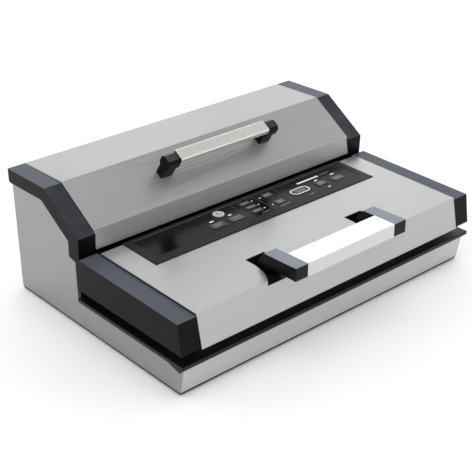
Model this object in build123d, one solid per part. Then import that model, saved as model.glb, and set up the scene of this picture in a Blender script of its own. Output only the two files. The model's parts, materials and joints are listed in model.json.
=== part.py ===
from build123d import *
import os
from math import hypot

# Vacuum sealer with a roll bay: a steel casing, a deck with the vacuum channel and the seal bar,
# a front lid with the control panel and the locking lever, and a rear cover over the film roll.
# X is the width, -Y is the user's side, +Z is up. The origin is under the middle of the feet.
# Outlines seen from the side are (y, z) points, and every size is in millimetres.

os.makedirs("parts", exist_ok=True)

# ---- overall sizes
CASE_W = 480.0            # steel casing, across
DECK_DEPTH = 193.8        # step face to the front of the casing
BAY_DEPTH = 137.4         # step face to the back of the casing
STEP_Y = 37.0             # step between deck and roll bay
DECK_Z = 45.6             # top of the deck
LID_RISE = 58.4           # deck to the rear edge of the front lid
COVER_RISE = 66.3         # rear edge of the front lid to the fold of the rear cover

# ---- walls, gaps and fits
SHEET_T = 1.2             # steel sheet
WALL = 2.5                # plastic wall
PART_GAP = 0.5            # between a cover and the casing it closes on
SLIDE_GAP = 0.3           # between sliding or nearly touching pieces
RUN_GAP = 0.06            # radial clearance of a turning pin
LIP = 4.5                 # deck and lid caps stand this far outside the casing

# ---- places along Y that the other sizes give
FRONT_Y = STEP_Y - DECK_DEPTH
REAR_Y = STEP_Y + BAY_DEPTH
CASE_X = CASE_W / 2
INNER_X = CASE_X - SHEET_T
LIP_X = CASE_X + LIP

# ---- casing
BASE_Z = 2.0              # underside of the base plate, over the feet
BASE_T = 2.5
PANEL_Z = BASE_Z + BASE_T
DECK_T = 4.6
DECK_UNDER = DECK_Z - DECK_T
BAND_TOP = 35.7           # top of the front steel band
BAND_LEAN = 5.7           # its foot is set back by this much
NOSE = 5.5                # deck edge in front of the band
NOSE_H = 4.4
RAMP = 21.2               # slope where the side panels drop to the band
FOOT_R = 12.0
FOOT_INSET = 34.0

# ---- deck
CHANNEL_X = 200.0 / 240.0 * CASE_X
CHANNEL_FRONT = FRONT_Y + 48.8
CHANNEL_REAR = STEP_Y - 73.0
CHANNEL_FLOOR = 30.0
GASKET_W = 8.0
GASKET_REACH = 12.0       # channel edge to the gasket's outer edge
GASKET_CORNER = 8.0
GROOVE_D = 3.0
GASKET_MEET = 52.35       # height where the two gaskets meet
SEAL_FRONT = FRONT_Y + 16.8
SEAL_W = 12.0
SEAL_TOP = 50.4
SEAL_X = CHANNEL_X + 5.0
STRIP_T = 0.5
TAPE_T = 0.4
TRAY_CLEAR = 4.0
TRAY_H = 12.5
TRAY_WALL = 1.5

# ---- cutter and roll bay
RAIL_FRONT = STEP_Y - 31.0
RAIL_W = 18.0
RAIL_H = 3.0
RAIL_X = CASE_X - 18.0
BLADE_Y = RAIL_FRONT + RAIL_W / 2
SLIDER_L = 30.0
SLIDER_START = -CASE_X + 40.0

# ---- inside the casing
HOSE_X = 110.0 / 240.0 * CASE_X
HOSE_Z = 35.5
HOSE_R = 4.0
HOSE_WALL = 1.2
PORT_END = CHANNEL_REAR + 18.0
PORT_BORE_R = 1.5
INLET_X = 170.0 / 240.0 * CASE_X
PUMP_Y = STEP_Y + 28.0

# ---- front lid
LID_X = CASE_X - 22.3     # seam between the sheet and the end caps
LID_REAR = STEP_Y - 15.7
LID_REAR_Z = DECK_Z + LID_RISE
LID_DROP = 3.5            # the top falls by this much to the front
LID_FRONT = FRONT_Y + 1.2
LID_NOSE = FRONT_Y - 7.3
LID_BOTTOM = DECK_Z + 13.4
CAP_LOWER = 2.8           # caps sit below the sheet by this much
LID_FRONT_Z = LID_REAR_Z - LID_DROP
HINGE_Y = STEP_Y - 12.5
HINGE_Z = LID_REAR_Z - 8.0
HINGE_PIN_R = 2.5
EAR_X = CASE_X - 41.0     # middle of each hinge ear
EAR_T = 6.0
LUG_T = 4.0
LUG_GAP = 0.4
DOME_Z = 70.0             # ceiling of the vacuum space in the lid
LINER_Z = LID_BOTTOM + 0.4

# ---- control panel
PANEL_X = 185.4 / 240.0 * CASE_X
PANEL_REAR = LID_REAR + 2.5
PANEL_FRONT = LID_REAR - 64.8
BEZEL_SIDE = 11.0
BEZEL_FRONT = 14.2
BEZEL_REAR = 4.3
BEZEL_RISE = 1.2
BEZEL_DEPTH = 9.0
FASCIA_T = 1.2
KEY_RISE = 0.9
KEY_TRAVEL = 0.6
KEY_GAP = 0.25
KEY_FLANGE = 0.9
LED_R = 1.2
FASCIA_X = PANEL_X - BEZEL_SIDE
FASCIA_FRONT = PANEL_FRONT + BEZEL_FRONT
FASCIA_REAR = PANEL_REAR - BEZEL_REAR
FASCIA_TOP = 0.2
BOARD_T = 1.6
BOARD_TOP = -5.2
KEY_FOOT = -3.0

# ---- lever and latch
LEVER_Y = FRONT_Y + 40.8
LEVER_Z = LID_REAR_Z - 20.0
SHAFT_R = 4.0
ARM_X = 83.5              # middle of each arm
ARM_W = 19.6
ARM_END = FRONT_Y - 24.1
SLOT_REAR = FRONT_Y + 55.9
SLOT_HALF = 14.9
SLOT_STRAIGHT = 15.1
SLOT_FLARE = 16.1
SLOT_DIP = 5.0
CUP_FLOOR = LID_FRONT_Z - 5.5
HOOK_X = CASE_X - 16.5
HOOK_T = 5.0
HOOK_GAP = 1.5

# ---- rear cover
COVER_X = CASE_X - 23.8   # seam between the sheet and the end caps
COVER_OUT = 1.0           # caps stand this far outside the casing
COVER_FOLD_Z = LID_REAR_Z + COVER_RISE
COVER_FOLD_Y = STEP_Y + 61.0
COVER_BACK = REAR_Y + 5.6
BAND_TOP_W = 18.7         # height of the cap's side band on the top
BAND_SLOPE_W = 20.7
BAND_FRONT_W = 21.6
PIVOT_Y = REAR_Y + 2.4
PIVOT_Z = COVER_FOLD_Z - 16.8
BARREL_R = 3.5
COVER_PIN_R = 1.5
HINGE_SPAN = 60.0
COVER_HINGE_X = 150.0 / 240.0 * CASE_X
KNUCKLE_HALF = 10.0

# ---- handle on the rear cover
HANDLE_X = 83.0           # middle of each bracket
BRACKET_W = 18.0
HANDLE_S = 34.6           # down the slope from the fold
HANDLE_H = 33.0
BAR_W = 18.0


# ---- helpers

def block(x0, x1, y0, y1, z0, z1):
    box = Box(x1 - x0, y1 - y0, z1 - z0, align=(Align.MIN, Align.MIN, Align.MIN))
    return Pos(x0, y0, z0) * box


def prism(points, x0, x1):
    outline = Polyline(*[(0, y, z) for y, z in points], close=True)
    return Pos(x0, 0, 0) * extrude(make_face(outline), amount=x1 - x0, dir=(1, 0, 0))


def rod(x0, x1, y, z, radius):
    bar = Cylinder(radius, x1 - x0, align=(Align.CENTER, Align.CENTER, Align.MIN))
    return Pos(x0, y, z) * Rot(0, 90, 0) * bar


def post(x, y, z0, z1, radius):
    bar = Cylinder(radius, z1 - z0, align=(Align.CENTER, Align.CENTER, Align.MIN))
    return Pos(x, y, z0) * bar


def slab(half_x, y0, y1, z0, z1, radius):
    plan = RectangleRounded(2 * half_x, y1 - y0, radius)
    return Pos(0, (y0 + y1) / 2, z0) * extrude(plan, amount=z1 - z0)


def frame(half_x, y0, y1, width, z0, z1, radius):
    hole = slab(half_x - width, y0 + width, y1 - width, z0 - 1, z1 + 1, radius - width / 2)
    return slab(half_x, y0, y1, z0, z1, radius) - hole


def other_side(shape):
    return mirror(shape, about=Plane.YZ)


def inset(points, depths):
    """Moves each leg of an outline to its left by its own depth and joins the legs again."""
    legs = []
    for start, end, depth in zip(points, points[1:], depths):
        length = hypot(end[0] - start[0], end[1] - start[1])
        run = ((end[0] - start[0]) / length, (end[1] - start[1]) / length)
        legs.append(((start[0] - run[1] * depth, start[1] + run[0] * depth), run, length))
    corners = [legs[0][0]]
    for (p, d, _), (q, e, _) in zip(legs, legs[1:]):
        turn = d[0] * e[1] - d[1] * e[0]
        step = ((q[0] - p[0]) * e[1] - (q[1] - p[1]) * e[0]) / turn
        corners.append((p[0] + d[0] * step, p[1] + d[1] * step))
    p, d, length = legs[-1]
    corners.append((p[0] + d[0] * length, p[1] + d[1] * length))
    return corners


def strip(points, thickness):
    """A sheet's outline: the outer path and the same path one thickness inside."""
    inner = inset(points, [thickness] * (len(points) - 1))
    return points + inner[::-1]


def save(name, *shapes):
    solids = [solid for shape in shapes for solid in shape.solids()]
    export_step(solids[0] if len(solids) == 1 else Compound(solids), f"parts/{name}.step")


# ---- outlines shared by neighbouring pieces

COVER_CAP_PATH = [
    (REAR_Y + 6.3, PIVOT_Z - 4.0),
    (REAR_Y + 6.3, COVER_FOLD_Z - 2.2),
    (COVER_FOLD_Y + 0.4, COVER_FOLD_Z - 1.2),
    (STEP_Y - 4.4, LID_REAR_Z + 21.1),
    (STEP_Y - 3.0, LID_REAR_Z - 6.7),
]
COVER_SHEET_PATH = [
    (COVER_BACK, PIVOT_Z + BARREL_R + PART_GAP),
    (COVER_BACK, COVER_FOLD_Z - 1.7),
    (COVER_FOLD_Y, COVER_FOLD_Z),
    (STEP_Y - 1.4, LID_REAR_Z + 25.1),
    (STEP_Y - 4.3, LID_REAR_Z - 0.1),
]
LID_SHEET_PATH = [
    (LID_REAR, LID_REAR_Z - 20.0),
    (LID_REAR, LID_REAR_Z),
    (LID_FRONT, LID_FRONT_Z),
    (LID_NOSE, LID_BOTTOM),
]
LID_INNER_PATH = inset(LID_SHEET_PATH, [SHEET_T] * 3)
WALL_TOP = LID_REAR_Z - 13.0      # top of the roll bay's front wall
WALL_BACK = STEP_Y + 6.5


def cover_inside():
    """The line under the rear cover's side band, from the back down to the step."""
    legs = inset(COVER_CAP_PATH[1:], [BAND_TOP_W, BAND_SLOPE_W, BAND_FRONT_W])
    return [(REAR_Y, legs[0][1]), legs[1], legs[2], (legs[3][0], LID_REAR_Z - 9.4)]


# ---- casing

def base_plate():
    edge = SHEET_T / 2
    floor = block(-CASE_X + edge, CASE_X - edge, FRONT_Y + BAND_LEAN + edge, REAR_Y - edge,
                  BASE_Z, PANEL_Z)
    front = FRONT_Y + BAND_LEAN + SHEET_T + SLIDE_GAP
    rim = block(-INNER_X, INNER_X, front, REAR_Y - SHEET_T, PANEL_Z, PANEL_Z + 8)
    rim -= block(-INNER_X + WALL, INNER_X - WALL, front + WALL, REAR_Y - SHEET_T - WALL,
                 PANEL_Z, PANEL_Z + 8)
    pan = floor + rim
    for x, y in foot_places():
        pan -= post(x, y, BASE_Z - 1, PANEL_Z + 1, FOOT_R / 3)
    for x, y in screw_places():
        pan -= post(x, y, BASE_Z - 1, PANEL_Z + 1, 1.6)
    return pan


def foot_places():
    return [(sx * (CASE_X - FOOT_INSET), y) for sx in (-1, 1)
            for y in (FRONT_Y + FOOT_INSET, REAR_Y - FOOT_INSET)]


def screw_places():
    return [(x, y) for x in (-CASE_X * 0.45, CASE_X * 0.45)
            for y in (FRONT_Y + FOOT_INSET, STEP_Y, REAR_Y - FOOT_INSET)]


def feet():
    found = []
    for x, y in foot_places():
        foot = post(x, y, 0, BASE_Z, FOOT_R) + post(x, y, BASE_Z, PANEL_Z + 1.5, FOOT_R / 3)
        found.append(foot)
    return found


def case_screws():
    """Screws from below: a head on the base plate and a shank up to the boss over it."""
    return [post(x, y, BASE_Z - 1.2, BASE_Z, 3.2) + post(x, y, BASE_Z, PANEL_Z + 8, 1.6)
            for x, y in screw_places()]


def side_panel():
    back, fold, knee, foot = cover_inside()
    points = [
        (REAR_Y, PANEL_Z),
        back,
        fold,
        knee,
        foot,
        (WALL_BACK + 0.3, LID_REAR_Z - 12.5),
        (WALL_BACK, DECK_UNDER),
        (FRONT_Y + RAMP, DECK_UNDER),
        (FRONT_Y, BAND_TOP),
        (FRONT_Y + BAND_LEAN, PANEL_Z),
    ]
    return prism(points, INNER_X, CASE_X)


def rear_panel():
    panel = block(-INNER_X, INNER_X, REAR_Y - SHEET_T, REAR_Y, PANEL_Z, PIVOT_Z - 5.1)
    panel -= block(-INLET_X - 14, -INLET_X + 14, REAR_Y - 3, REAR_Y + 1, 18, 38)
    for count in range(10):
        x = INLET_X - 40 + count * 8
        panel -= block(x, x + 3, REAR_Y - 3, REAR_Y + 1, 16, 40)
    return panel


def front_band():
    top = (FRONT_Y, BAND_TOP)
    foot = (FRONT_Y + BAND_LEAN, PANEL_Z)
    points = [top, foot, (foot[0] + SHEET_T, foot[1]), (top[0] + SHEET_T, top[1])]
    return prism(points, -INNER_X, INNER_X)


def deck():
    section = [
        (FRONT_Y - NOSE, DECK_Z),
        (FRONT_Y - NOSE, DECK_Z - NOSE_H),
        (FRONT_Y, BAND_TOP),
        (FRONT_Y + RAMP, DECK_UNDER),
        (STEP_Y, DECK_UNDER),
        (STEP_Y, DECK_Z),
    ]
    plate = prism(section, -LIP_X, LIP_X)
    plate -= channel_space(0, DECK_UNDER - 1, DECK_Z + 1)
    plate -= gasket_ring(DECK_Z - GROOVE_D, DECK_Z + 1)
    return plate - block(-SEAL_X, SEAL_X, SEAL_FRONT, SEAL_FRONT + SEAL_W, DECK_Z - GROOVE_D, DECK_Z + 1)


def channel_space(grow, z0, z1):
    return block(-CHANNEL_X - grow, CHANNEL_X + grow, CHANNEL_FRONT - grow, CHANNEL_REAR + grow, z0, z1)


def vacuum_channel():
    """Tub under the hole in the deck, with the port that the pump draws through."""
    tub = channel_space(WALL, CHANNEL_FLOOR - WALL, DECK_UNDER)
    tub -= channel_space(0, CHANNEL_FLOOR, DECK_UNDER + 1)
    return tub + vacuum_port() - vacuum_port_bore()


def vacuum_port():
    length = PORT_END - CHANNEL_REAR
    tube = Cylinder(HOSE_R - HOSE_WALL, length, align=(Align.CENTER, Align.CENTER, Align.MIN))
    return Pos(HOSE_X, CHANNEL_REAR, HOSE_Z) * Rot(-90, 0, 0) * tube


def vacuum_port_bore():
    length = PORT_END - CHANNEL_REAR + 2
    hole = Cylinder(PORT_BORE_R, length, align=(Align.CENTER, Align.CENTER, Align.MIN))
    return Pos(HOSE_X, CHANNEL_REAR - 1, HOSE_Z) * Rot(-90, 0, 0) * hole


def gasket_ring(z0, z1):
    return frame(CHANNEL_X + GASKET_REACH, CHANNEL_FRONT - GASKET_REACH,
                 CHANNEL_REAR + GASKET_REACH, GASKET_W, z0, z1, GASKET_CORNER)


def drip_tray():
    tray = channel_space(-TRAY_CLEAR, CHANNEL_FLOOR, CHANNEL_FLOOR + TRAY_H)
    return tray - channel_space(-TRAY_CLEAR - TRAY_WALL, CHANNEL_FLOOR + TRAY_WALL,
                                CHANNEL_FLOOR + TRAY_H + 1)


def seal_bar():
    return block(-SEAL_X, SEAL_X, SEAL_FRONT, SEAL_FRONT + SEAL_W, DECK_Z - GROOVE_D, SEAL_TOP)


def heater_strips():
    wire = 2.4
    inset_y = 2.0
    starts = (SEAL_FRONT + inset_y, SEAL_FRONT + SEAL_W - inset_y - wire)
    return [block(-SEAL_X + 2, SEAL_X - 2, y, y + wire, SEAL_TOP, SEAL_TOP + STRIP_T)
            for y in starts]


def ptfe_tape():
    """The non-stick tape lies over the heater strips and down both sides of the bar."""
    over = SEAL_TOP + STRIP_T
    tape = block(-SEAL_X, SEAL_X, SEAL_FRONT - TAPE_T, SEAL_FRONT + SEAL_W + TAPE_T,
                 DECK_Z, over + TAPE_T)
    return tape - block(-SEAL_X - 1, SEAL_X + 1, SEAL_FRONT, SEAL_FRONT + SEAL_W, DECK_Z - 1, over)


# ---- roll bay

def roll_tray():
    floor_top = DECK_Z + WALL
    front = block(-CASE_X, CASE_X, STEP_Y, WALL_BACK, DECK_UNDER, WALL_TOP)
    tray = front + block(-INNER_X, INNER_X, WALL_BACK, REAR_Y - SHEET_T, DECK_Z, floor_top)
    tray += block(-INNER_X, INNER_X, REAR_Y - SHEET_T - WALL, REAR_Y - SHEET_T, DECK_Z, PIVOT_Z - 10)
    back, fold, knee, foot = cover_inside()
    end = [
        (WALL_BACK, DECK_Z),
        (REAR_Y - SHEET_T, DECK_Z),
        (REAR_Y - SHEET_T, back[1] - 1),
        (fold[0], fold[1] - 1),
        (knee[0], knee[1] - 1),
        (foot[0], WALL_TOP),
        (WALL_BACK, WALL_TOP),
    ]
    side = prism(end, INNER_X - WALL, INNER_X)
    tray += side + other_side(side)
    return tray - block(-COVER_X + 5, COVER_X - 5, STEP_Y - 1, WALL_BACK + 1, floor_top, DECK_Z + 12)


def cutter_rail():
    rail = block(-RAIL_X, RAIL_X, RAIL_FRONT, RAIL_FRONT + RAIL_W, DECK_Z, DECK_Z + RAIL_H)
    return rail - block(-RAIL_X - 1, RAIL_X + 1, BLADE_Y - 1.5, BLADE_Y + 1.5, DECK_Z + 1,
                        DECK_Z + RAIL_H + 1)


def cutter_slider():
    """A finger grip that straddles the rail, with a slot for the blade."""
    x0 = SLIDER_START - SLIDER_L / 2
    x1 = SLIDER_START + SLIDER_L / 2
    rail_top = DECK_Z + RAIL_H
    skirt = 1.6
    y0 = RAIL_FRONT - SLIDE_GAP - skirt
    y1 = RAIL_FRONT + RAIL_W + SLIDE_GAP + skirt
    grip = block(x0, x1, y0, y1, DECK_Z + 0.6, rail_top + 8)
    grip -= block(x0 - 1, x1 + 1, y0 + skirt, y1 - skirt, DECK_Z, rail_top + SLIDE_GAP)
    return grip - cutter_blade()


def cutter_blade():
    half = 6.0
    return block(SLIDER_START - half, SLIDER_START + half, BLADE_Y - 0.4, BLADE_Y + 0.4,
                 DECK_Z + 1.4, DECK_Z + RAIL_H + 5)


# ---- inside the casing

def vacuum_pump():
    """Diaphragm pump head and its motor, lying along X under the roll bay."""
    x0 = HOSE_X - 16
    head = block(x0, HOSE_X + 16, PUMP_Y, PUMP_Y + 46, PANEL_Z, PANEL_Z + 38)
    motor = rod(x0 - 62, x0, PUMP_Y + 23, PANEL_Z + 18, 15)
    foot = block(x0 - 50, x0 - 14, PUMP_Y + 10, PUMP_Y + 36, PANEL_Z, PANEL_Z + 7)
    foot -= rod(x0 - 62, x0, PUMP_Y + 23, PANEL_Z + 18, 15)
    return [head, motor, foot]


def vacuum_hose():
    start = CHANNEL_REAR + WALL + 2.0
    length = PUMP_Y - start
    hose = Cylinder(HOSE_R, length, align=(Align.CENTER, Align.CENTER, Align.MIN))
    bore = Cylinder(HOSE_R - HOSE_WALL, length, align=(Align.CENTER, Align.CENTER, Align.MIN))
    return Pos(HOSE_X, start, HOSE_Z) * Rot(-90, 0, 0) * (hose - bore)


def transformer():
    x = -CASE_X * 0.2
    y = STEP_Y + 60
    core = block(x - 33, x + 33, y - 14, y + 14, PANEL_Z, PANEL_Z + 36)
    coil = block(x - 20, x + 20, y - 24, y + 24, PANEL_Z + 8, PANEL_Z + 28) - core
    return [core, coil]


def power_board():
    x0 = -CASE_X * 0.2 - 140
    y0 = STEP_Y + 24
    top = PANEL_Z + 7.6
    board = block(x0, x0 + 90, y0, y0 + 66, PANEL_Z + 6, top)
    for dx in (8, 82):
        for dy in (8, 58):
            board += post(x0 + dx, y0 + dy, PANEL_Z, PANEL_Z + 6, 2.5)
    for dx in (20, 36):
        board += post(x0 + dx, y0 + 20, top, top + 18, 6)
    board += block(x0 + 50, x0 + 72, y0 + 14, y0 + 32, top, top + 15)
    board += block(x0 + 20, x0 + 60, y0 + 42, y0 + 46, top, top + 24)
    return board


def mains_inlet():
    y1 = REAR_Y + 1.6
    flange = block(-INLET_X - 18, -INLET_X + 18, REAR_Y, y1, 15, 41)
    shell = block(-INLET_X - 14, -INLET_X + 14, REAR_Y - 20, REAR_Y, 18, 38)
    socket = block(-INLET_X - 11, -INLET_X + 11, REAR_Y - 16, y1 + 1, 20.5, 35.5)
    inlet = flange + shell - socket
    for dx in (-6.5, 0, 6.5):
        inlet += block(-INLET_X + dx - 1, -INLET_X + dx + 1, REAR_Y - 17, REAR_Y - 4, 26, 30)
    return inlet


# ---- hinges

def lid_hinge_ears():
    """Ears on the step carry the pins that the front lid turns on."""
    head = 5.0
    arm = [
        (STEP_Y, HINGE_Z - 26),
        (STEP_Y, HINGE_Z - 4),
        (HINGE_Y + 3, HINGE_Z + 4),
        (HINGE_Y - 3, HINGE_Z - 4),
        (HINGE_Y - 1, HINGE_Z - 10),
    ]
    x0 = EAR_X - EAR_T / 2
    ear = prism(arm, x0, x0 + EAR_T) + rod(x0, x0 + EAR_T, HINGE_Y, HINGE_Z, head)
    ear += block(x0 - 8, x0 + EAR_T + 8, STEP_Y - 2, STEP_Y, HINGE_Z - 26, HINGE_Z - 10)
    ear -= rod(x0 - 1, x0 + EAR_T + 1, HINGE_Y, HINGE_Z, HINGE_PIN_R)
    return [ear, other_side(ear)]


def lid_lug_ranges():
    near = EAR_X - EAR_T / 2 - LUG_GAP
    far = EAR_X + EAR_T / 2 + LUG_GAP
    return [(near - LUG_T, near), (far, far + LUG_T)]


def hinge_pins():
    (x0, _), (_, x1) = lid_lug_ranges()
    lid_pin = rod(x0, x1, HINGE_Y, HINGE_Z, HINGE_PIN_R)
    half = HINGE_SPAN / 2
    cover_pin = rod(COVER_HINGE_X - half, COVER_HINGE_X + half, PIVOT_Y, PIVOT_Z, COVER_PIN_R)
    return [lid_pin, other_side(lid_pin), cover_pin, other_side(cover_pin)]


def knuckle(x0, x1, bore):
    return rod(x0, x1, PIVOT_Y, PIVOT_Z, BARREL_R) - rod(x0 - 1, x1 + 1, PIVOT_Y, PIVOT_Z, bore)


def casing_hinge_leaves():
    half = HINGE_SPAN / 2
    x = COVER_HINGE_X
    top = PIVOT_Z - BARREL_R - 1.0
    leaf = block(x - half, x + half, REAR_Y, REAR_Y + SHEET_T, PIVOT_Z - 25, top)
    for x0, x1 in ((x - half, x - KNUCKLE_HALF), (x + KNUCKLE_HALF, x + half)):
        tab = block(x0, x1, REAR_Y, REAR_Y + SHEET_T, top, PIVOT_Z)
        leaf += tab - rod(x0, x1, PIVOT_Y, PIVOT_Z, BARREL_R - 0.5)
        leaf += knuckle(x0, x1, COVER_PIN_R)
    return [leaf, other_side(leaf)]


def cover_hinge_leaves():
    half = HINGE_SPAN / 2
    x = COVER_HINGE_X
    y1 = COVER_BACK - SHEET_T
    y0 = y1 - SHEET_T
    low = PIVOT_Z + BARREL_R + PART_GAP
    leaf = block(x - half, x + half, y0, y1, low, COVER_FOLD_Z - 4.5)
    x0 = x - KNUCKLE_HALF + SLIDE_GAP
    x1 = x + KNUCKLE_HALF - SLIDE_GAP
    leaf += block(x0, x1, y0, y1, PIVOT_Z + 2, low) - rod(x0, x1, PIVOT_Y, PIVOT_Z, BARREL_R - 0.5)
    leaf += knuckle(x0, x1, COVER_PIN_R + RUN_GAP)
    return [leaf, other_side(leaf)]


# ---- rear cover

def roll_cover_sheet():
    screw = handle_screw()
    return prism(strip(COVER_SHEET_PATH, SHEET_T), -COVER_X, COVER_X) - screw - other_side(screw)


def roll_cover_cap():
    """End cap: a skin over the outline, a side band, and a web that the sheet's end lies on."""
    edge = [(y, z + PART_GAP) for y, z in cover_inside()]
    low_front = (WALL_BACK, LID_REAR_Z - 11.6)
    foot = (edge[3][0] - PART_GAP, edge[3][1])
    knee = (edge[2][0] - PART_GAP, edge[2][1])
    below = [low_front, foot, knee, edge[1], edge[0]]
    cap = prism(strip(COVER_CAP_PATH, WALL), COVER_X, CASE_X + COVER_OUT)
    cap += prism(COVER_CAP_PATH + below, CASE_X + COVER_OUT - WALL, CASE_X + COVER_OUT)
    under_sheet = inset(COVER_SHEET_PATH, [SHEET_T] * 4)[1:]
    web_foot = [(STEP_Y - 1.5, LID_REAR_Z - 6.7)]
    cap += prism(under_sheet + web_foot + below + [(under_sheet[0][0], edge[0][1])],
                 COVER_X - WALL, COVER_X)
    corner = block(COVER_X - WALL - 1, CASE_X + 2, PIVOT_Y, PIVOT_Y + 20, PIVOT_Z - 20, PIVOT_Z)
    return cap - (corner - rod(COVER_X - WALL - 1, CASE_X + 2, PIVOT_Y, PIVOT_Z, 4.0))


def slope_plane():
    """Lies on the cover's slope at the fold: local X runs down the slope, local Y out of it."""
    fold = COVER_SHEET_PATH[2]
    knee = COVER_SHEET_PATH[3]
    length = hypot(knee[0] - fold[0], knee[1] - fold[1])
    down = (0, (knee[0] - fold[0]) / length, (knee[1] - fold[1]) / length)
    return Plane(origin=(0, fold[0], fold[1]), x_dir=down, z_dir=(-1, 0, 0))


def on_slope(points, x0, x1):
    """Extrudes an outline of (down the slope, out of it) points from x0 to x1."""
    plane = slope_plane()
    face = make_face(Polyline(*[plane.from_local_coords((s, h, 0)) for s, h in points], close=True))
    return Pos(x0, 0, 0) * extrude(face, amount=x1 - x0, dir=(1, 0, 0))


def handle_bracket():
    s = HANDLE_S
    points = [
        (s - 6, 0),
        (s + 6, 0),
        (s + 6, HANDLE_H - 17),
        (s + 9, HANDLE_H - 13),
        (s + 9, HANDLE_H - 4),
        (s + 5, HANDLE_H),
        (s - 5, HANDLE_H),
        (s - 9, HANDLE_H - 4),
        (s - 9, HANDLE_H - 13),
        (s - 6, HANDLE_H - 17),
    ]
    bracket = on_slope(points, HANDLE_X - BRACKET_W / 2, HANDLE_X + BRACKET_W / 2)
    return bracket - handle_screw()


def handle_screw():
    """A screw from under the sheet into the bracket's foot."""
    plane = slope_plane()
    start = plane.from_local_coords((HANDLE_S, -SHEET_T - 2.0, 0))
    normal = plane.y_dir
    head = Plane(origin=(HANDLE_X, start.Y, start.Z), z_dir=normal)
    shank = extrude(head * Circle(2), amount=SHEET_T + 14)
    return extrude(head * Circle(4), amount=2.0) + shank


def handle_bar():
    s = HANDLE_S - BAR_W / 2
    top = HANDLE_H + 2
    outer = [
        (s, top - 8),
        (s, top - 2),
        (s + 2, top),
        (s + BAR_W - 2, top),
        (s + BAR_W, top - 2),
        (s + BAR_W, top - 8),
        (s + BAR_W - 3, top - 11),
        (s + 3, top - 11),
    ]
    inner = [
        (s + 1.5, top - 7),
        (s + 1.5, top - 1.5),
        (s + BAR_W - 1.5, top - 1.5),
        (s + BAR_W - 1.5, top - 7),
        (s + BAR_W - 4, top - 9.5),
        (s + 4, top - 9.5),
    ]
    half = HANDLE_X - BRACKET_W / 2
    return on_slope(outer, -half, half) - on_slope(inner, -half - 1, half + 1)


# ---- front lid

def slot_plan(extra):
    """Plan of the cut for a lever arm: straight at the back, flaring to the front."""
    half = SLOT_HALF + extra
    rear = SLOT_REAR + extra
    bend = SLOT_REAR - SLOT_STRAIGHT
    wide = half + SLOT_FLARE
    tip = LID_FRONT - 2.0
    out = FRONT_Y - 15.0
    right = Line((half, rear), (half, bend)) + TangentArc((half, bend), (wide, tip), tangent=(0, -1))
    right += Line((wide, tip), (wide, out))
    left = Line((-half, rear), (-half, bend)) + TangentArc((-half, bend), (-wide, tip), tangent=(0, -1))
    left += Line((-wide, tip), (-wide, out))
    ends = Line((half, rear), (-half, rear)) + Line((wide, out), (-wide, out))
    return make_face(right + left + ends)


def slot_tool(extra, z0):
    return Pos(ARM_X, 0, z0) * extrude(slot_plan(extra), amount=40)


def lid_sheet():
    sheet = prism(strip(LID_SHEET_PATH, SHEET_T), -LID_X, LID_X)
    sheet -= block(-PANEL_X, PANEL_X, PANEL_FRONT, LID_REAR + 5, LID_REAR_Z - 30, LID_REAR_Z + 5)
    slot = slot_tool(0, LID_FRONT_Z - SLOT_DIP)
    ear = ear_notch()
    return sheet - slot - other_side(slot) - ear - other_side(ear)


def ear_notch():
    """Room for a hinge ear in the lid's back wall."""
    half = EAR_T / 2 + LUG_GAP + LUG_T + 1
    return block(EAR_X - half, EAR_X + half, LID_REAR - 12, LID_REAR + 5, LINER_Z + WALL,
                 LID_REAR_Z - SHEET_T - 0.6)


def slot_cup():
    """Black cup under the sheet that lines a slot and lets the arm through to the shaft."""
    inside = [
        LID_INNER_PATH[1],
        LID_INNER_PATH[2],
        LID_INNER_PATH[3],
        (LID_REAR, LID_BOTTOM),
    ]
    half = ARM_X + SLOT_HALF + SLOT_FLARE + 6
    body = slot_tool(2, CUP_FLOOR - 2) & prism(inside, 0, half)
    body -= slot_tool(0, CUP_FLOOR)
    arm_half = ARM_W / 2 + 1.5
    return body - block(ARM_X - arm_half, ARM_X + arm_half, SLOT_REAR - 37, SLOT_REAR + 0.5,
                        CUP_FLOOR - 3, CUP_FLOOR + 1)


def lid_cap():
    """End cap of the front lid, open below, with its back corner cut to clear the rear cover."""
    rear = STEP_Y - 0.6
    top_rear = LID_REAR_Z - CAP_LOWER
    path = [
        (rear, LID_BOTTOM),
        (rear, top_rear - 6.6),
        (rear - 7.4, top_rear),
        (LID_FRONT - 0.4, LID_FRONT_Z - CAP_LOWER),
        (FRONT_Y - 5.0, LID_BOTTOM),
    ]
    cap = prism(strip(path, WALL), LID_X, LIP_X)
    return cap + prism(path, LIP_X - WALL, LIP_X)


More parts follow.
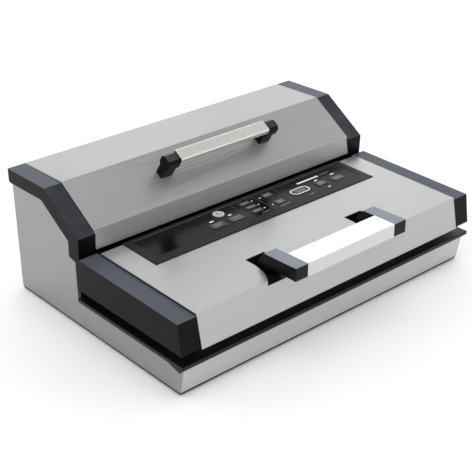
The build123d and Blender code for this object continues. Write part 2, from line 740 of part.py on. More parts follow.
def lid_liner():
    """Inner moulding of the lid: floor, gasket groove, walls and hinge lugs."""
    front = LID_FRONT + 1.8
    rear = LID_REAR - SHEET_T
    floor = block(-LID_X, LID_X, LID_NOSE + 2.0, rear, LINER_Z, LINER_Z + WALL)
    walls = block(-LID_X, LID_X, front, rear, LINER_Z + WALL, LID_REAR_Z)
    walls -= block(-LID_X + WALL, LID_X - WALL, front + WALL, rear - WALL, LINER_Z + WALL, LID_REAR_Z)
    roof = [(LID_NOSE, LID_BOTTOM), LID_INNER_PATH[3], LID_INNER_PATH[2], LID_INNER_PATH[1]]
    liner = (floor + walls) & prism(roof + [(LID_REAR, LID_BOTTOM)], -LID_X, LID_X)
    liner -= channel_space(0, LINER_Z - 1, LINER_Z + WALL + 1)
    liner += gasket_ring(LINER_Z, LINER_Z + 2 + WALL)
    liner -= gasket_ring(LINER_Z - 1, LINER_Z + 2)
    liner -= block(-SEAL_X, SEAL_X, SEAL_FRONT, SEAL_FRONT + SEAL_W, LINER_Z - 1, LINER_Z + 1)
    panel_floor = LID_FRONT_Z - BEZEL_DEPTH
    liner -= block(-PANEL_X, PANEL_X, PANEL_FRONT, LID_REAR + 1, panel_floor + 1.6, LID_REAR_Z + 1)
    liner -= rod(-LID_X - 1, LID_X + 1, LEVER_Y, LEVER_Z, SHAFT_R + RUN_GAP)
    cup_half = SLOT_HALF + SLOT_FLARE + 4
    for side in (-1, 1):
        x = side * ARM_X
        liner -= block(x - cup_half, x + cup_half, LID_NOSE - 1, front + WALL + 1, CUP_FLOOR - 2,
                       LID_REAR_Z)
    notch = ear_notch()
    liner -= notch
    liner -= other_side(notch)
    lugs = hinge_lugs()
    return liner + lugs + other_side(lugs)


def vacuum_dome():
    """Lid of the vacuum space, on the liner's floor over its hole."""
    base = LINER_Z + WALL
    return channel_space(WALL, base, DOME_Z + WALL) - channel_space(0, base - 1, DOME_Z)


def hinge_lugs():
    """Two lugs beside each ear, rooted in the lid's floor, with the bores for the pin."""
    (near0, near1), (far0, far1) = lid_lug_ranges()
    head = 4.5
    arm = [
        (LID_REAR - 12, LINER_Z + WALL),
        (LID_REAR - 3.6, LINER_Z + WALL),
        (HINGE_Y + head * 0.9, HINGE_Z - 2),
        (HINGE_Y, HINGE_Z + head),
        (HINGE_Y - head, HINGE_Z),
    ]
    lugs = prism(arm, near0, near1) + rod(near0, near1, HINGE_Y, HINGE_Z, head)
    lugs += prism(arm, far0, far1) + rod(far0, far1, HINGE_Y, HINGE_Z, head)
    return lugs - rod(near0 - 1, far1 + 1, HINGE_Y, HINGE_Z, HINGE_PIN_R + RUN_GAP)


def upper_gasket():
    return gasket_ring(GASKET_MEET + SLIDE_GAP / 2, LINER_Z + 2)


def lower_gasket():
    return gasket_ring(DECK_Z - GROOVE_D, GASKET_MEET - SLIDE_GAP / 2)


def pressure_strip():
    bottom = SEAL_TOP + STRIP_T + TAPE_T + SLIDE_GAP
    return block(-SEAL_X, SEAL_X, SEAL_FRONT, SEAL_FRONT + SEAL_W, bottom, LINER_Z + 1)


# ---- control panel, built on the plane of the lid's sloping top

def top_plane():
    slope = LID_DROP / (LID_REAR - LID_FRONT)
    return Plane(origin=(0, LID_REAR, LID_REAR_Z), x_dir=(1, 0, 0), z_dir=(0, -slope, 1))


def on_top(x, y):
    """Places a shape drawn around its own origin at (x, y) of the lid's top."""
    return top_plane().location * Pos(x, y - LID_REAR, 0)


def panel_block(x0, x1, y0, y1, h0, h1):
    return on_top(0, LID_REAR) * block(x0, x1, y0 - LID_REAR, y1 - LID_REAR, h0, h1)


# name, x, distance in front of the lid's rear edge, length, width, corner radius
KEYS = [
    ("power_key", -46.6, 13.8, 15.0, 15.0, 7.4),
    ("seal_key", -66.0, 36.3, 22.0, 13.0, 2.0),
    ("stop_key", -36.0, 36.3, 22.0, 13.0, 2.0),
    ("program_key_1", -2.1, 13.3, 16.8, 7.6, 1.5),
    ("program_key_2", -2.1, 25.9, 16.8, 7.6, 1.5),
    ("program_key_3", -2.1, 37.9, 16.8, 7.6, 1.5),
    ("food_key", 36.6, 14.0, 15.0, 11.0, 2.0),
    ("pressure_key", 37.2, 37.8, 15.0, 11.0, 2.0),
    ("vacuum_key", 79.0, 32.1, 32.0, 16.0, 7.9),
    ("marinate_key", 117.1, 33.3, 17.0, 12.0, 2.0),
    ("pulse_key", 145.9, 35.7, 20.0, 12.0, 2.0),
]
LEDS = [
    (-66.7, 23.8),
    (-37.0, 24.3),
    (10.6, 13.3),
    (10.6, 25.9),
    (10.6, 37.9),
    (24.3, 13.5),
    (25.2, 37.8),
    (117.6, 22.7),
    (148.8, 22.3),
    (119.2, 47.5),
]


def key_shape(key, grow, h0, h1):
    _, x, back, length, width, radius = key
    plan = RectangleRounded(length + 2 * grow, width + 2 * grow, radius + grow)
    return on_top(x, LID_REAR - back) * Pos(0, 0, h0) * extrude(plan, amount=h1 - h0)


def key_solid(key):
    cap = key_shape(key, 0, KEY_FOOT, FASCIA_TOP + KEY_RISE)
    return cap + key_shape(key, KEY_FLANGE, KEY_FOOT, KEY_FOOT + 0.9)


def panel_bezel():
    """Tray of the control panel with a bevelled rim round the fascia."""
    outer = panel_block(-PANEL_X, PANEL_X, PANEL_FRONT, PANEL_REAR, -BEZEL_DEPTH, BEZEL_RISE)
    outer = chamfer(outer.faces().sort_by(Axis.Z)[-1].edges(), 0.8)
    ledge = 1.5
    well = panel_block(-FASCIA_X + ledge, FASCIA_X - ledge, FASCIA_FRONT + ledge, FASCIA_REAR - ledge,
                       -BEZEL_DEPTH + 1.5, BEZEL_RISE + 1)
    seat = panel_block(-FASCIA_X, FASCIA_X, FASCIA_FRONT, FASCIA_REAR, FASCIA_TOP - FASCIA_T,
                       BEZEL_RISE + 1)
    return outer - well - seat


def panel_fascia():
    plate = panel_block(-FASCIA_X, FASCIA_X, FASCIA_FRONT, FASCIA_REAR, FASCIA_TOP - FASCIA_T,
                        FASCIA_TOP)
    for key in KEYS:
        plate -= key_shape(key, KEY_GAP, -5, 5)
    for x, back in LEDS:
        plate -= on_top(x, LID_REAR - back) * Cylinder(LED_R, 10)
    return plate


def control_board():
    """Circuit board on pillars, with one switch under each key."""
    y0 = FASCIA_FRONT + 4
    y1 = FASCIA_REAR - 4
    half = FASCIA_X - 5
    board = panel_block(-half, half, y0, y1, BOARD_TOP - BOARD_T, BOARD_TOP)
    floor = -BEZEL_DEPTH + 1.5
    for x in (-half + 6, 0, half - 6):
        board += on_top(x, (y0 + y1) / 2) * post(0, 0, floor, BOARD_TOP - BOARD_T, 3)
    height = KEY_FOOT - KEY_TRAVEL - 0.1 - BOARD_TOP
    switch = Box(6, 5, height, align=(Align.CENTER, Align.CENTER, Align.MIN))
    for _, x, back, *_ in KEYS:
        board += on_top(x, LID_REAR - back) * Pos(0, 0, BOARD_TOP) * switch
    return board


def indicator_leds():
    height = FASCIA_TOP + 0.1 - BOARD_TOP
    lamp = Cylinder(LED_R, height, align=(Align.CENTER, Align.CENTER, Align.MIN))
    return [on_top(x, LID_REAR - back) * Pos(0, 0, BOARD_TOP) * lamp for x, back in LEDS]


# ---- lever and latch

def lever_arm():
    """Grip block over the lid and a shank that goes down through the slot to the shaft."""
    top = LEVER_Z + 34.6
    under = LEVER_Z + 18.8
    boss = 8.5
    points = [
        (ARM_END, under),
        (ARM_END, top + 1.5),
        (LEVER_Y - 11, top),
        (LEVER_Y + 5, LEVER_Z + 13),
        (LEVER_Y + boss, LEVER_Z),
        (LEVER_Y - boss, LEVER_Z),
        (LEVER_Y - boss, LEVER_Z + 8),
        (LEVER_Y - 24, under),
    ]
    x0 = ARM_X - ARM_W / 2
    arm = prism(points, x0, x0 + ARM_W) + rod(x0, x0 + ARM_W, LEVER_Y, LEVER_Z, boss)
    return arm - rod(x0 - 1, x0 + ARM_W + 1, LEVER_Y, LEVER_Z, SHAFT_R)


def lever_bar():
    """Folded steel bar between the arms."""
    top = LEVER_Z + 35.4
    front = ARM_END + 0.9
    rear = FRONT_Y + 10.0
    path = [(rear, top - 6), (rear, top), (front, top + 0.5), (front, LEVER_Z + 18.4)]
    half = ARM_X - ARM_W / 2
    return prism(strip(path, 2.0), -half, half)


def lever_shaft():
    """Shaft across the lid, with a latch hook clamped on at each end."""
    end = HOOK_X + HOOK_T / 2 + 2
    hook = latch_hook()
    return [rod(-end, end, LEVER_Y, LEVER_Z, SHAFT_R), hook, other_side(hook)]


def latch_hook():
    tip = DECK_Z + HOOK_GAP
    stem = [
        (LEVER_Y - 5, LEVER_Z),
        (LEVER_Y - 5, tip),
        (LEVER_Y + 5.5, tip),
        (LEVER_Y + 5.5, tip + 4),
        (LEVER_Y - 1, tip + 5.5),
        (LEVER_Y - 1, LEVER_Z),
    ]
    x0 = HOOK_X - HOOK_T / 2
    x1 = HOOK_X + HOOK_T / 2
    hook = prism(stem, x0, x1) + rod(x0, x1, LEVER_Y, LEVER_Z, 2 * SHAFT_R)
    return hook - rod(x0 - 1, x1 + 1, LEVER_Y, LEVER_Z, SHAFT_R)


def latch_catches():
    """Catches on the deck: the hook's nose goes under their lips when the lever is pressed."""
    lip = DECK_Z + HOOK_GAP + 5.9
    lip_tip = LEVER_Y + 7
    post_y = lip_tip + 5
    points = [
        (lip_tip, lip),
        (lip_tip, lip + 3),
        (post_y + 4, lip + 3),
        (post_y + 4, DECK_Z),
        (post_y, DECK_Z),
        (post_y, lip),
    ]
    catch = prism(points, HOOK_X - 4.5, HOOK_X + 4.5)
    return [catch, other_side(catch)]


def left_and_right(name, shape):
    save(name + "_right", shape)
    save(name + "_left", other_side(shape))


def main():
    save("base_plate", base_plate())
    save("feet", *feet())
    save("case_screws", *case_screws())
    left_and_right("side_panel", side_panel())
    save("rear_panel", rear_panel())
    save("front_band", front_band())
    save("deck", deck())
    save("vacuum_channel", vacuum_channel())
    save("drip_tray", drip_tray())
    save("seal_bar", seal_bar())
    save("heater_strips", *heater_strips())
    save("ptfe_tape", ptfe_tape())
    save("lower_gasket", lower_gasket())
    save("roll_tray", roll_tray())
    save("cutter_rail", cutter_rail())
    save("cutter_slider", cutter_slider())
    save("cutter_blade", cutter_blade())
    save("vacuum_pump", *vacuum_pump())
    save("vacuum_hose", vacuum_hose())
    save("transformer", *transformer())
    save("power_board", power_board())
    save("mains_inlet", mains_inlet())
    save("lid_hinge_ears", *lid_hinge_ears())
    save("hinge_pins", *hinge_pins())
    save("casing_hinge_leaves", *casing_hinge_leaves())
    save("cover_hinge_leaves", *cover_hinge_leaves())
    save("roll_cover_sheet", roll_cover_sheet())
    left_and_right("roll_cover_cap", roll_cover_cap())
    bracket = handle_bracket()
    save("handle_brackets", bracket, other_side(bracket))
    screw = handle_screw()
    save("handle_screws", screw, other_side(screw))
    save("handle_bar", handle_bar())
    save("lid_sheet", lid_sheet())
    left_and_right("lid_cap", lid_cap())
    save("lid_liner", lid_liner())
    save("vacuum_dome", vacuum_dome())
    save("upper_gasket", upper_gasket())
    save("pressure_strip", pressure_strip())
    cup = slot_cup()
    save("slot_cups", cup, other_side(cup))
    save("panel_bezel", panel_bezel())
    save("panel_fascia", panel_fascia())
    save("control_board", control_board())
    save("indicator_leds", *indicator_leds())
    for key in KEYS:
        save(key[0], key_solid(key))
    arm = lever_arm()
    save("lever_arms", arm, other_side(arm))
    save("lever_bar", lever_bar())
    save("lever_shaft", *lever_shaft())
    save("latch_catches", *latch_catches())


main()
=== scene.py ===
import json
import math

import bpy
from mathutils import Matrix, Vector


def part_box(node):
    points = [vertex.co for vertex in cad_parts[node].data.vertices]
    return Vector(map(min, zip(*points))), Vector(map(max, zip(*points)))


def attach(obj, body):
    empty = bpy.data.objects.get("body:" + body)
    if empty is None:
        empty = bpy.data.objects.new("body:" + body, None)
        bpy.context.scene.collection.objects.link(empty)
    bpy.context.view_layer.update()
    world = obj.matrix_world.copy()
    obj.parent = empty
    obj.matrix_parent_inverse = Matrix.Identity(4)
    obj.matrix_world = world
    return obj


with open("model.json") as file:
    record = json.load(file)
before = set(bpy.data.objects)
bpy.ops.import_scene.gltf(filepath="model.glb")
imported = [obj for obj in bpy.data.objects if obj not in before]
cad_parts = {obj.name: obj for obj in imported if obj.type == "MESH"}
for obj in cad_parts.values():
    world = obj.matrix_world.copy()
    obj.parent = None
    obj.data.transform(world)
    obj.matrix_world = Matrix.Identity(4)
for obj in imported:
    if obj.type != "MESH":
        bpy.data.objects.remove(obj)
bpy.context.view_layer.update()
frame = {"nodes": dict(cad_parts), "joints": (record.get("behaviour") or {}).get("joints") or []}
nodes = frame["nodes"]
MM = 0.001

# camera
CAMERA_PLACE = (-0.8659, -0.96001, 0.72928)  # metres
CAMERA_ANGLES = (-41.2524, 27.3692, -0.3463)  # azimuth, elevation and roll in degrees
LENS = 85.36  # millimetres
SENSOR = 36  # millimetres

# studio
FLOOR_HALF = 9.0  # metres from the middle of the floor to each edge
WORLD_PEAK = 2.5  # the brightest part of the sky
# brightness of the sky at each height, from the horizon at 0 to straight up at 1
WORLD_STOPS = [(0.0, 1.5), (0.15, 1.6), (0.3, 1.5), (0.5, 1.4), (0.62, 1.15), (0.74, 0.85),
               (0.8, 0.65), (0.87, 0.5), (0.92, 0.6), (0.96, 2.5), (1.0, 2.5)]
COOL_FROM = 0.3  # from this height up the sky is slightly blue
COOL_TINT = (0.985, 0.994, 1.0)

# textures: a scale is the number of cells of noise in each metre
NOISE_START = 130.3  # added to the coordinates of every noise, to start away from its own origin
CLOUD_ROUGHNESS = 0.1  # share by which clouds change the roughness of a moulding
SKIN_SCALE = 1400.0
SKIN_DEPTH = 0.12 * MM
SHEEN_CLOUD_SCALE = 30.0
SHEEN_EDGE_CLOUDS = 0.08  # how far clouds shift the edge of the painted sheen
PAINTED_SHEEN_RANGE = (0.7, 1.02)  # upward part of the normal where the painted sheen starts and where it is full
MOULDING_SKIN_BUMP = 0.1
STREAKS = (6.0, 330.0)  # scales along the grain and across it
HAIR_LINES = (30.0, 1100.0)  # the same
HAIR_SHARE = 0.15
GRAIN_BUMP = 0.08
GRAIN_DEPTH = 0.06 * MM
STEEL_CONTRAST = 0.035  # share by which lines change the colour of the steel
LINE_ROUGHNESS = 0.02
SMUDGE_SCALE = 11.0
SMUDGE_ROUGHNESS = 0.04

# rounded edges
JOIN_DISTANCE = 0.01 * MM
SHARP_ANGLE = 20  # degrees; edges that turn more than this are rounded
EDGE_SEGMENTS = 3

# marks on the control panel, all generic, in millimetres
# bars on the fascia: first and last x, and two distances in front of its rear edge
DIVIDERS = [(x - 0.25, x + 0.25, 2.5, 45.5) for x in (-19.6, 19.2, 55.2)]
SCALE_BAR = [(90.6, 130.0, 11.0, 14.2)]
SMALL_MARKS = [(134, 136.5, 11.2, 12.6), (137.5, 139, 11.2, 12.6), (140, 145, 10.8, 12.2),
               (146, 149.5, 10.8, 12.2), (82, 84, 45, 46.6), (85.5, 90, 45, 46.6),
               (-1, 3, 44.2, 45.4), (4, 8, 44.2, 45.4), (9, 12, 44.2, 45.4),
               (29.5, 47.5, 45.2, 46.4)]
BORDER_WIDTH = 0.8
# windows over some lamps: x, distance in front of the rear edge, length
LAMP_WINDOWS = [(-66.7, 22.0, 7.0), (-37.0, 22.5, 6.0), (117.6, 20.9, 6.0), (148.8, 20.5, 7.0),
                (119.2, 45.7, 4.0)]
WINDOW_WIDTH = 2.6
# rows on each key: first and last x from its middle, distance behind the middle, height of the row
KEY_MARKS = {
    "power_key": [(-0.6, 0.6, 1.5, 2.4)],
    "seal_key": [(-6, 7, 1.9, 1.5), (-6, 4, -1.6, 1.5)],
    "stop_key": [(-8, 8, 1.6, 1.5), (-8, 8, -3.2, 1.3)],
    "program_key_1": [(-5.5, 5.5, 0.0, 2.0)],
    "program_key_2": [(-5.5, 5.5, 0.0, 2.0)],
    "program_key_3": [(-6, 5, 0.8, 1.3), (-6, 5, -1.4, 1.0)],
    "food_key": [(-5, 5, 0.4, 3.0)],
    "pressure_key": [(-5, 5, 1.4, 2.2), (-5, 5, -2.4, 1.0)],
    "vacuum_key": [(-9, 9, 2.6, 1.1), (-9, 9, 0.0, 1.1), (-7, 7, -2.6, 1.1)],
    "marinate_key": [(-6, 6, 2.0, 1.3), (-6, 6, -0.6, 1.3), (-6, 3, -3.0, 1.0)],
    "pulse_key": [(-7, 7, 1.4, 2.0), (-7, 7, -2.8, 1.2)],
}
# rings on two keys: length and width outside, then inside
POWER_RING = ((7.2, 7.19), (5.4, 5.39))
VACUUM_RING = ((31.4, 15.4), (27.8, 11.8))
PRINT_LIFT = 0.04  # a mark reaches this far above the face, and as far below it
STADIUM_POINTS = 24


# ---- camera, floor and light

def make_camera():
    """A long lens from the user's left, looking down on the front lid."""
    azimuth, elevation, roll = (math.radians(angle) for angle in CAMERA_ANGLES)
    back = Vector((math.sin(azimuth) * math.cos(elevation), -math.cos(azimuth) * math.cos(elevation),
                   math.sin(elevation)))
    right = Vector((math.cos(azimuth), math.sin(azimuth), 0))
    up = back.cross(right)
    turned_right = math.cos(roll) * right + math.sin(roll) * up
    turned_up = math.cos(roll) * up - math.sin(roll) * right
    data = bpy.data.cameras.new("camera")
    data.lens = LENS
    data.sensor_width = SENSOR
    data.clip_start = 0.05
    data.clip_end = 60
    camera = bpy.data.objects.new("camera", data)
    bpy.context.scene.collection.objects.link(camera)
    axes = Matrix((turned_right, turned_up, back)).transposed()
    camera.matrix_world = Matrix.Translation(CAMERA_PLACE) @ axes.to_4x4()
    bpy.context.scene.camera = camera


def make_floor():
    """A white floor, which is part of the stage and not of the object."""
    mesh = bpy.data.meshes.new("floor")
    half = FLOOR_HALF
    mesh.from_pydata([(-half, -half, 0), (half, -half, 0), (half, half, 0), (-half, half, 0)], [],
                     [(0, 1, 2, 3)])
    floor = bpy.data.objects.new("floor", mesh)
    bpy.context.scene.collection.objects.link(floor)
    floor.data.materials.append(plain("floor_white", (0.96, 0.96, 0.96), 0.75, 0.02, 4))


def make_world():
    """A pale studio: a bright ring round the horizon, dimmer above it, and a bright ceiling."""
    world = bpy.data.worlds.new("studio")
    bpy.context.scene.world = world
    world.use_nodes = True
    tree = world.node_tree
    coords = tree.nodes.new("ShaderNodeTexCoord")
    split = tree.nodes.new("ShaderNodeSeparateXYZ")
    ramp = tree.nodes.new("ShaderNodeValToRGB")
    tree.links.new(coords.outputs["Generated"], split.inputs[0])
    tree.links.new(split.outputs["Z"], ramp.inputs[0])
    tree.links.new(ramp.outputs[0], tree.nodes["Background"].inputs["Color"])
    tree.nodes["Background"].inputs["Strength"].default_value = WORLD_PEAK
    elements = ramp.color_ramp.elements
    while len(elements) < len(WORLD_STOPS):
        elements.new(0.5)
    for element, (height, brightness) in zip(elements, WORLD_STOPS):
        tint = COOL_TINT if height >= COOL_FROM else (1, 1, 1)
        element.position = height
        element.color = (*shade(tint, brightness / WORLD_PEAK), 1)


def area_light(name, place, target, size, power):
    """A rectangular light in metres and watts, turned to its target."""
    data = bpy.data.lights.new(name, "AREA")
    data.shape = "RECTANGLE"
    data.size, data.size_y = size
    data.energy = power
    light = bpy.data.objects.new(name, data)
    bpy.context.scene.collection.objects.link(light)
    light.location = place
    light.rotation_euler = (Vector(target) - Vector(place)).to_track_quat("-Z", "Y").to_euler()


# ---- materials

def start(name):
    """A new material with its node tree and its shader."""
    material = bpy.data.materials.new(name)
    material.use_nodes = True
    return material, material.node_tree, material.node_tree.nodes["Principled BSDF"]


def stretched_noise(tree, stretch, detail=4.0):
    """Noise in the object's own coordinates, with a scale for each axis."""
    coords = tree.nodes.new("ShaderNodeTexCoord")
    mapping = tree.nodes.new("ShaderNodeMapping")
    mapping.inputs["Scale"].default_value = stretch
    mapping.inputs["Location"].default_value = (NOISE_START,) * 3
    noise = tree.nodes.new("ShaderNodeTexNoise")
    noise.inputs["Scale"].default_value = 1.0
    noise.inputs["Detail"].default_value = detail
    tree.links.new(coords.outputs["Object"], mapping.inputs["Vector"])
    tree.links.new(mapping.outputs[0], noise.inputs["Vector"])
    return noise.outputs["Fac"]


def ranged(tree, value, low, high):
    """A value from 0 to 1, moved to the range from low to high."""
    node = tree.nodes.new("ShaderNodeMapRange")
    node.inputs["To Min"].default_value = low
    node.inputs["To Max"].default_value = high
    tree.links.new(value, node.inputs["Value"])
    return node.outputs["Result"]


def tinted(tree, value, dark, light, low=0.3, high=0.7):
    """A colour for a value: dark up to low, light from high on."""
    ramp = tree.nodes.new("ShaderNodeValToRGB")
    ramp.color_ramp.elements[0].position = low
    ramp.color_ramp.elements[0].color = (*dark, 1)
    ramp.color_ramp.elements[1].position = high
    ramp.color_ramp.elements[1].color = (*light, 1)
    tree.links.new(value, ramp.inputs[0])
    return ramp.outputs[0]


def bumped(tree, value, shader, strength, depth):
    """Relief on a shader, with its depth in metres."""
    bump = tree.nodes.new("ShaderNodeBump")
    bump.inputs["Strength"].default_value = strength
    bump.inputs["Distance"].default_value = depth
    tree.links.new(value, bump.inputs["Height"])
    tree.links.new(bump.outputs[0], shader.inputs["Normal"])


def shade(color, factor):
    return tuple(channel * factor for channel in color)


def cloudy(tree, clouds, shader, roughness):
    """Roughness that clouds make a little lower and higher."""
    low = roughness * (1 - CLOUD_ROUGHNESS)
    high = roughness * (1 + CLOUD_ROUGHNESS)
    tree.links.new(ranged(tree, clouds, low, high), shader.inputs["Roughness"])


def plain(name, color, roughness, spread, scale, bump=0.0, metallic=0.0, specular=0.5):
    """Soft clouds in the colour and the roughness; with a bump also a fine skin."""
    material, tree, shader = start(name)
    shader.inputs["Specular IOR Level"].default_value = specular
    clouds = stretched_noise(tree, (scale,) * 3)
    tree.links.new(tinted(tree, clouds, shade(color, 1 - spread), shade(color, 1 + spread)),
                   shader.inputs["Base Color"])
    cloudy(tree, clouds, shader, roughness)
    shader.inputs["Metallic"].default_value = metallic
    if bump:
        skin = stretched_noise(tree, (SKIN_SCALE,) * 3, 2.0)
        bumped(tree, skin, shader, bump, SKIN_DEPTH)
    return material


def sheen_topped(name, color, painted_sheen, roughness, specular):
    """A moulding whose upward faces are painted a lighter colour: a painted sheen that stands in for the
    bright sky they reflect.
    """
    material, tree, shader = start(name)
    shader.inputs["Specular IOR Level"].default_value = specular
    coords = tree.nodes.new("ShaderNodeTexCoord")
    split = tree.nodes.new("ShaderNodeSeparateXYZ")
    tree.links.new(coords.outputs["Normal"], split.inputs[0])
    clouds = stretched_noise(tree, (SHEEN_CLOUD_SCALE,) * 3)
    add = tree.nodes.new("ShaderNodeMath")
    add.operation = "ADD"
    tree.links.new(split.outputs["Z"], add.inputs[0])
    tree.links.new(ranged(tree, clouds, -SHEEN_EDGE_CLOUDS, SHEEN_EDGE_CLOUDS), add.inputs[1])
    # painted sheen: the colour turns lighter where the face looks up
    tree.links.new(tinted(tree, add.outputs[0], color, painted_sheen, *PAINTED_SHEEN_RANGE), shader.inputs["Base Color"])
    cloudy(tree, clouds, shader, roughness)
    skin = stretched_noise(tree, (SKIN_SCALE,) * 3, 2.0)
    bumped(tree, skin, shader, MOULDING_SKIN_BUMP, SKIN_DEPTH)
    return material


def brushed(name, color, roughness, grain, metallic):
    """Brushed steel: streaks along the grain, faint hair lines and a little smudging.

    The whole range of its roughness stays on one side of about 0.27. Ranges that crossed it gave
    patches with ragged outlines in the render.
    """
    material, tree, shader = start(name)

    def lines(scales, detail):
        along, across = scales
        stretch = tuple(along if axis == grain else across for axis in "xyz")
        return stretched_noise(tree, stretch, detail)

    streaks = lines(STREAKS, 1.0)
    hair = lines(HAIR_LINES, 0.0)
    smudge = stretched_noise(tree, (SMUDGE_SCALE,) * 3, 3.0)
    mix = tree.nodes.new("ShaderNodeMix")
    mix.data_type = "FLOAT"
    mix.inputs[0].default_value = HAIR_SHARE
    tree.links.new(streaks, mix.inputs[2])
    tree.links.new(hair, mix.inputs[3])
    dark = shade(color, 1 - STEEL_CONTRAST)
    light = shade(color, 1 + STEEL_CONTRAST)
    tree.links.new(tinted(tree, mix.outputs[0], dark, light), shader.inputs["Base Color"])
    add = tree.nodes.new("ShaderNodeMath")
    add.operation = "ADD"
    tree.links.new(ranged(tree, mix.outputs[0], -LINE_ROUGHNESS, LINE_ROUGHNESS), add.inputs[0])
    smudged = ranged(tree, smudge, roughness - SMUDGE_ROUGHNESS, roughness + SMUDGE_ROUGHNESS)
    tree.links.new(smudged, add.inputs[1])
    tree.links.new(add.outputs[0], shader.inputs["Roughness"])
    shader.inputs["Metallic"].default_value = metallic
    bumped(tree, streaks, shader, GRAIN_BUMP, GRAIN_DEPTH)
    return material


def give(material, *names):
    """One material for these nodes, in place of what they had."""
    for name in names:
        nodes[name].data.materials.clear()
        nodes[name].data.materials.append(material)


def round_edges(width, *names):
    """Rounded edges of a width in millimetres; corners are joined first, so that edges are found."""
    for name in names:
        weld = nodes[name].modifiers.new("join", "WELD")
        weld.merge_threshold = JOIN_DISTANCE
        bevel = nodes[name].modifiers.new("edges", "BEVEL")
        bevel.width = width * MM
        bevel.segments = EDGE_SEGMENTS
        bevel.limit_method = "ANGLE"
        bevel.angle_limit = math.radians(SHARP_ANGLE)
        nodes[name].modifiers.new("normals", "WEIGHTED_NORMAL")


def soften_frame():
    """Rounded edges: end caps and brackets, sheets and bars, panels and small parts, then keys."""
    round_edges(0.9, "lid_cap_left", "lid_cap_right", "roll_cover_cap_left", "roll_cover_cap_right",
                "lever_arms", "handle_brackets")
    round_edges(0.55, "lid_sheet", "roll_cover_sheet", "lever_bar", "handle_bar")
    round_edges(0.3, "side_panel_left", "side_panel_right", "front_band", "rear_panel", "deck",
                "roll_tray", "panel_bezel", "drip_tray", "cutter_slider", "seal_bar", "cutter_rail",
                "vacuum_channel", "vacuum_dome")
    round_edges(0.2, *[name for name in nodes if name.endswith("_key") or "program_key" in name])


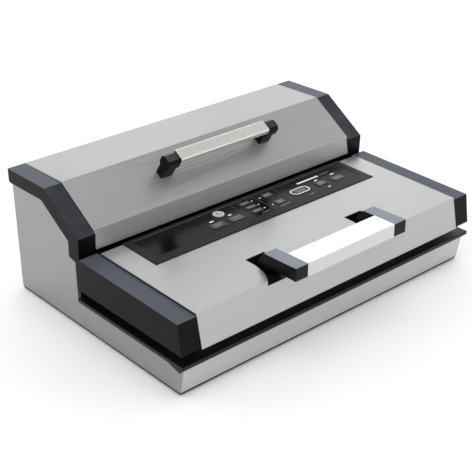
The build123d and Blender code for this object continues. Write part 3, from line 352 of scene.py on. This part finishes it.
def dress_frame():
    """A material for every node of the frame."""
    # brushed: colour, roughness, direction of the grain, metallic
    steel_x = brushed("steel_grain_x", (0.41, 0.41, 0.407), 0.34, "x", 0.82)
    # the same steel for the roll cover, with its colour and metallic set to how its top is lit: painted
    # light
    cover_painted_light = brushed("cover_painted_light", (0.34, 0.34, 0.338), 0.34, "x", 0.55)
    # the same steel made lighter and less metallic for the front band: painted light on a face that sees
    # little sky
    band_painted_light = brushed("band_painted_light", (0.5, 0.5, 0.497), 0.34, "x", 0.7)
    # the same steel made darker for the side panels: painted shade; only the grain along y is their own
    side_steel_painted_shade = brushed("painted_shade_side_steel", (0.31, 0.31, 0.305), 0.34, "y", 0.95)
    bar_steel = brushed("bar_steel", (0.62, 0.62, 0.62), 0.2, "x", 1.0)
    # the handle bar's steel painted bright and warm: a painted reflection of the floor
    handle_steel_painted_reflection = brushed("handle_painted_reflection", (0.6, 0.592, 0.56), 0.34, "y", 0.8)
    # plain: colour, roughness, spread of the colour, scale of its clouds, bump
    # mouldings with a painted sheen: colour, painted sheen colour on upward faces, roughness, specular
    black = plain("black_plastic", (0.005, 0.0055, 0.006), 0.36, 0.15, 30, 0.12, specular=0.2)
    # painted sheen: the upward faces of the end caps and handle brackets are painted a lighter blue-grey
    cap_black = sheen_topped("cap_plastic", (0.0025, 0.0025, 0.0022), (0.075, 0.08, 0.1), 0.34, 0.08)
    bezel = plain("bezel_black", (0.008, 0.009, 0.013), 0.42, 0.15, 40, 0.1, specular=0.14)
    # painted sheen: the upward faces of the lever arms are painted a light blue-grey
    lever_black = sheen_topped("lever_plastic", (0.004, 0.004, 0.0045), (0.2, 0.215, 0.25), 0.3, 0.14)
    grey = plain("grey_plastic", (0.2, 0.2, 0.21), 0.5, 0.08, 30, 0.2)
    gloss = plain("panel_gloss", (0.0025, 0.0025, 0.0025), 0.2, 0.15, 20, specular=0.07)
    key = plain("key_grey", (0.055, 0.056, 0.058), 0.45, 0.12, 60, 0.1, specular=0.2)
    key_light = plain("key_light", (0.5, 0.5, 0.49), 0.4, 0.06, 60, 0.1)
    lamp = plain("lamp_lens", (0.85, 0.85, 0.83), 0.3, 0.05, 60)
    rubber = plain("rubber", (0.03, 0.03, 0.03), 0.7, 0.2, 60, 0.5)
    foam = plain("foam", (0.07, 0.07, 0.07), 0.9, 0.25, 400, 1.0)
    silicone = plain("silicone", (0.32, 0.32, 0.33), 0.5, 0.06, 40, 0.1)
    tape = plain("tape", (0.34, 0.26, 0.17), 0.45, 0.15, 90, 0.4)
    plated = plain("plated_steel", (0.6, 0.6, 0.6), 0.25, 0.08, 80, 0.1, 1.0)
    cast = plain("motor_metal", (0.3, 0.3, 0.31), 0.5, 0.1, 60, 0.2)
    iron = plain("core_iron", (0.2, 0.19, 0.18), 0.6, 0.15, 60, 0.3)
    board = plain("board", (0.04, 0.2, 0.09), 0.35, 0.12, 60, 0.1)
    give(steel_x, "lid_sheet", "rear_panel", "casing_hinge_leaves", "cover_hinge_leaves")
    give(cover_painted_light, "roll_cover_sheet")
    give(band_painted_light, "front_band")
    give(side_steel_painted_shade, "side_panel_left", "side_panel_right")
    give(bar_steel, "lever_bar")
    give(handle_steel_painted_reflection, "handle_bar")
    give(lever_black, "lever_arms")
    give(black, "base_plate", "deck", "roll_tray", "mains_inlet", "latch_catches", "cutter_slider",
         "lid_liner", "slot_cups", "vacuum_channel", "vacuum_dome")
    give(cap_black, "roll_cover_cap_left", "roll_cover_cap_right", "handle_brackets", "lid_cap_left",
         "lid_cap_right")
    give(bezel, "panel_bezel")
    give(grey, "drip_tray", "cutter_rail")
    give(gloss, "panel_fascia")
    give(key, "seal_key", "stop_key", "program_key_1", "program_key_2", "program_key_3", "food_key",
         "pressure_key", "vacuum_key", "marinate_key", "pulse_key")
    give(key_light, "power_key")
    give(lamp, "indicator_leds")
    give(rubber, "feet", "vacuum_hose")
    give(foam, "lower_gasket", "upper_gasket")
    give(silicone, "pressure_strip")
    give(tape, "ptfe_tape")
    give(plated, "case_screws", "handle_screws", "hinge_pins", "lid_hinge_ears", "lever_shaft",
         "cutter_blade", "heater_strips", "seal_bar")
    give(cast, "vacuum_pump")
    give(iron, "transformer")
    give(board, "power_board", "control_board")


# ---- marks on the control panel

def panel_axes():
    """Across the panel, back along it and out of it, the last from the way a key is pressed."""
    press = next(joint for joint in frame["joints"] if joint["name"] == "power_key_press")
    out = -Vector(press["axis"]).normalized()
    across = Vector((1, 0, 0))
    return across, out.cross(across), out


def furthest(name, direction):
    """How far a node reaches in a direction, in metres from the origin."""
    node = nodes[name]
    return max((node.matrix_world @ vertex.co).dot(direction) for vertex in node.data.vertices)


def bar(x0, x1, y0, y1):
    """Outline of a rectangle."""
    return [(x0, y0), (x1, y0), (x1, y1), (x0, y1)]


def stadium(x, y, length, width):
    """Outline of a slot with round ends, half of its points on each end."""
    half = (length - width) / 2
    turn = 2 * math.pi / STADIUM_POINTS
    points = []
    for step in range(STADIUM_POINTS):
        angle = (step + 0.5) * turn - math.pi / 2
        end = half if step < STADIUM_POINTS / 2 else -half
        points.append((x + end + width / 2 * math.cos(angle), y + width / 2 * math.sin(angle)))
    return points


def printed(name, outlines, height, finish, body, hole=None):
    """A thin layer on the panel: flat islands with these outlines, or a band round the hole.

    Outlines are in millimetres across and along the panel, and the height of the face is in metres.
    The finish is a material and the name of a slot, which is not used.
    """
    across, along, out = panel_axes()
    vertices = []
    faces = []

    def loop(points, lift):
        first = len(vertices)
        vertices.extend(x * MM * across + y * MM * along + (height + lift * MM) * out for x, y in points)
        return list(range(first, len(vertices)))

    def joined(low, high):
        for a, b in zip(range(len(low)), list(range(1, len(low))) + [0]):
            faces.append((low[a], low[b], high[b], high[a]))

    for outline in outlines:
        low = loop(outline, -PRINT_LIFT)
        high = loop(outline, PRINT_LIFT)
        joined(low, high)
        if hole:
            inner_high = loop(hole, PRINT_LIFT)
            inner_low = loop(hole, -PRINT_LIFT)
            joined(high, inner_high)
            joined(inner_high, inner_low)
            joined(inner_low, low)
        else:
            faces.append(tuple(high))
            faces.append(tuple(reversed(low)))
    mesh = bpy.data.meshes.new(name)
    mesh.from_pydata(vertices, [], faces)
    piece = bpy.data.objects.new(name, mesh)
    bpy.context.scene.collection.objects.link(piece)
    material, slot = finish
    mesh.materials.append(material)
    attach(piece, body)


def make_panel_marks():
    """Printed marks on the fascia ride on the lid, and those on a key ride on the key."""
    _, along, out = panel_axes()
    white = (plain("print_white", (0.8, 0.8, 0.79), 0.45, 0.05, 300, specular=0.2), "key_light")
    grey = (plain("print_grey", (0.1, 0.1, 0.1), 0.5, 0.08, 300, specular=0.2), "key_grey")
    pale = (plain("print_pale", (0.26, 0.26, 0.26), 0.5, 0.1, 300, specular=0.2), "key_light")
    border = (plain("print_border", (0.16, 0.16, 0.17), 0.4, 0.08, 300, specular=0.2), "key_grey")
    rings = {"power_key": (grey, *POWER_RING), "vacuum_key": (white, *VACUUM_RING)}
    face = furthest("panel_fascia", out)
    rear = furthest("panel_fascia", along) / MM

    def on_fascia(rows):
        return [bar(x0, x1, rear - back1, rear - back0) for x0, x1, back0, back1 in rows]

    printed("panel_dividers", on_fascia(DIVIDERS), face, grey, "front_lid")
    printed("panel_scale_bar", on_fascia(SCALE_BAR), face, white, "front_lid")
    printed("panel_small_marks", on_fascia(SMALL_MARKS), face, pale, "front_lid")
    low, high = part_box("panel_fascia")
    side = high.x / MM
    front = low.dot(along) / MM
    inside = bar(-side + BORDER_WIDTH, side - BORDER_WIDTH, front + BORDER_WIDTH, rear - BORDER_WIDTH)
    printed("panel_border", [bar(-side, side, front, rear)], face, border, "front_lid", inside)
    windows = [stadium(x, rear - back, length, WINDOW_WIDTH) for x, back, length in LAMP_WINDOWS]
    printed("panel_lamp_windows", windows, furthest("indicator_leds", out), white, "front_lid")
    for name, rows in KEY_MARKS.items():
        low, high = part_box(name)
        middle = (low + high) / 2
        x = middle.x / MM
        y = middle.dot(along) / MM
        top = furthest(name, out)
        marks = [bar(x + x0, x + x1, y + back - height / 2, y + back + height / 2)
                 for x0, x1, back, height in rows]
        printed(name + "_marks", marks, top, pale, "body_" + name)
        if name in rings:
            finish, outer, inner = rings[name]
            printed(name + "_ring", [stadium(x, y, *outer)], top, finish, "body_" + name,
                    stadium(x, y, *inner))


soften_frame()
make_panel_marks()
make_camera()
make_floor()
make_world()
area_light("soft_box_right", place=(1.66, 1.43, 1.22), target=(0, -0.05, 0.1), size=(0.6, 0.5),
           power=0.5)
area_light("soft_box_back", place=(1.18, 2.03, 1.15), target=(0, 0.1, 0.15), size=(0.6, 0.4),
           power=0.6)
dress_frame()
bpy.context.scene.view_settings.view_transform = "Standard"
